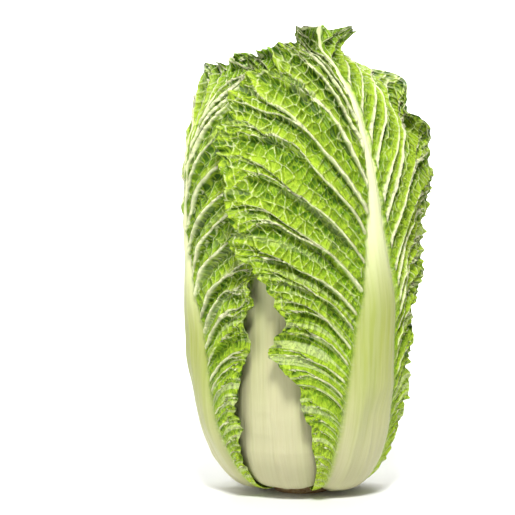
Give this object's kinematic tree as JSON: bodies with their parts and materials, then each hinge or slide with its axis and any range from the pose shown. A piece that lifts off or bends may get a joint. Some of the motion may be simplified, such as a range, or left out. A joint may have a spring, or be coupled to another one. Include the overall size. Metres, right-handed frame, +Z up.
{
  "type": "napa cabbage",
  "caption": "Whole upright head of napa cabbage: broad white ribs, crinkled green wrapper leaves with frilled margins, and a closed heart on a trimmed stump.",
  "frame": {"origin": "centre of the stump's cut face, which the head stands on", "axes": "+Z up the head from stump to crown, -Y towards the front, where the broad rib of the innermost wrapper leaf shows between two others"},
  "size_m": [0.1631, 0.1603, 0.3055],
  "materials": {
    "wrapper_leaf": "crinkled green leaf with a white rib and a soft wax sheen",
    "heart_leaf": "pale yellow-green crinkled leaf",
    "stump": "dry cut stem"
  },
  "bodies": {
    "root": {"heart": "heart_leaf", "stump": "stump", "leaf_front": "wrapper_leaf", "leaf_right_rear": "wrapper_leaf", "leaf_left_rear": "wrapper_leaf", "leaf_rear": "wrapper_leaf", "leaf_left": "wrapper_leaf", "leaf_front_right": "wrapper_leaf"}
  },
  "joints": []
}
